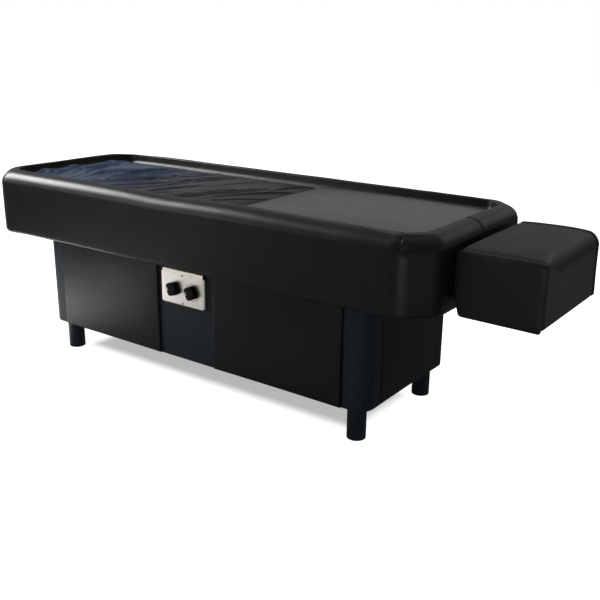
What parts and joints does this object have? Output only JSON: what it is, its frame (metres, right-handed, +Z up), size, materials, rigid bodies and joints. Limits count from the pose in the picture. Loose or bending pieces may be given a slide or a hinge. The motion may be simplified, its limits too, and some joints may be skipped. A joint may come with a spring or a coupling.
{
  "type": "hydromassage table",
  "caption": "Padded tub on a low cabinet with legs: a slack membrane over travelling water jets, a leg pad, two control knobs and a block footrest that hangs on one end.",
  "frame": {"origin": "on the floor, under the middle of the overall box", "axes": "+X from the head end to the footrest, -Y the side with the controls, +Z up"},
  "size_m": [2.228, 0.723, 0.72],
  "materials": {
    "black_vinyl": "satin black upholstery vinyl over foam",
    "grey_vinyl": "matt charcoal upholstery vinyl over foam",
    "textured_laminate": "black board with a fine pebbled laminate",
    "leg_paint": "fine textured black",
    "plywood": "bare birch plywood",
    "navy_membrane": "glossy dark navy coated sheet",
    "tank_plastic": "moulded grey white",
    "brushed_steel": "brushed stainless",
    "knob_plastic": "moulded black",
    "dark_plastic": "moulded dark grey",
    "motor_paint": "satin blue grey enamel",
    "rubber": "black moulded rubber",
    "valve_brass": "machined brass"
  },
  "bodies": {
    "table": {"front_bolster": "black_vinyl", "back_bolster": "black_vinyl", "head_bolster": "black_vinyl", "foot_bolster": "black_vinyl", "front_head_panel": "black_vinyl", "front_foot_panel": "black_vinyl", "back_head_panel": "black_vinyl", "back_foot_panel": "black_vinyl", "head_end_panel": "black_vinyl", "foot_end_panel": "black_vinyl", "carcass_front": "textured_laminate", "carcass_back": "textured_laminate", "carcass_head": "textured_laminate", "carcass_foot": "textured_laminate", "base_floor": "textured_laminate", "corner_post_front_head": "textured_laminate", "corner_post_front_foot": "textured_laminate", "corner_post_back_head": "textured_laminate", "corner_post_back_foot": "textured_laminate", "leg_front_head": "leg_paint", "leg_front_foot": "leg_paint", "leg_back_head": "leg_paint", "leg_back_foot": "leg_paint", "tub_deck": "plywood", "tub_wall_front": "plywood", "tub_wall_back": "plywood", "tub_wall_head": "plywood", "tub_wall_foot": "plywood", "pad_bridge": "plywood", "membrane": "navy_membrane", "tank": "tank_plastic", "tank_flange": "tank_plastic", "suction_pipe": "tank_plastic", "discharge_pipe": "tank_plastic", "membrane_frame": "brushed_steel", "rail_front": "brushed_steel", "rail_back": "brushed_steel", "control_plate": "brushed_steel", "tub_cleat": "brushed_steel", "idler_pin": "dark_plastic", "pump_volute": "dark_plastic", "timer_body": "dark_plastic", "pressure_body": "dark_plastic", "power_inlet": "dark_plastic", "drive_motor": "motor_paint", "pump_motor": "motor_paint", "drive_belt": "rubber", "jet_hose": "rubber", "drain_valve": "valve_brass"},
    "timer_knob": {"timer_knob": "knob_plastic"},
    "pressure_knob": {"pressure_knob": "knob_plastic"},
    "footrest": {"footrest_block": "black_vinyl", "footrest_hanger": "brushed_steel"},
    "leg_pad": {"leg_pad": "grey_vinyl"},
    "jet_carriage": {"jet_carriage": "dark_plastic", "jet_bar": "tank_plastic"},
    "drive_pulley": {"drive_pulley": "dark_plastic"},
    "idler_pulley": {"idler_pulley": "dark_plastic"},
    "pump_rotor": {"pump_impeller": "valve_brass"},
    "drain_lever": {"drain_lever": "knob_plastic"}
  },
  "joints": [
    {"name": "timer_turn", "type": "hinge", "parent": "table", "child": "timer_knob", "pos_m": [-0.1813, -0.2885, 0.3835], "axis": [0, 1, 0], "range_deg": [0, 300]},
    {"name": "pressure_turn", "type": "hinge", "parent": "table", "child": "pressure_knob", "pos_m": [-0.0947, -0.2885, 0.3835], "axis": [0, 1, 0], "range_deg": [-45, 225]},
    {"name": "footrest_lift", "type": "slide", "parent": "table", "child": "footrest", "axis": [0, 0, 1], "range_m": [0, 0.12]},
    {"name": "leg_pad_lift", "type": "slide", "parent": "table", "child": "leg_pad", "axis": [0, 0, 1], "range_m": [0, 0.15]},
    {"name": "jet_travel", "type": "slide", "parent": "table", "child": "jet_carriage", "axis": [1, 0, 0], "range_m": [-0.25, 0.25], "deforming": ["jet_hose"]},
    {"name": "drive_pulley_spin", "type": "hinge", "parent": "table", "child": "drive_pulley", "pos_m": [-0.8, 0, 0.5173], "axis": [0, 0, 1], "range_deg": [-640, 640]},
    {"name": "idler_pulley_spin", "type": "hinge", "parent": "table", "child": "idler_pulley", "pos_m": [-0.076, 0, 0.5173], "axis": [0, 0, 1], "range_deg": [-640, 640]},
    {"name": "pump_spin", "type": "hinge", "parent": "table", "child": "pump_rotor", "pos_m": [-0.038, -0.1, 0.2365], "axis": [1, 0, 0], "continuous": true},
    {"name": "drain_turn", "type": "hinge", "parent": "table", "child": "drain_lever", "pos_m": [-0.588, 0.1283, 0.30925], "axis": [0, 1, 0], "range_deg": [0, 90]}
  ],
  "couplings": [
    {"joint": "drive_pulley_spin", "follows": "jet_travel", "rad_per_m": -42.919},
    {"joint": "idler_pulley_spin", "follows": "jet_travel", "rad_per_m": -42.919}
  ]
}
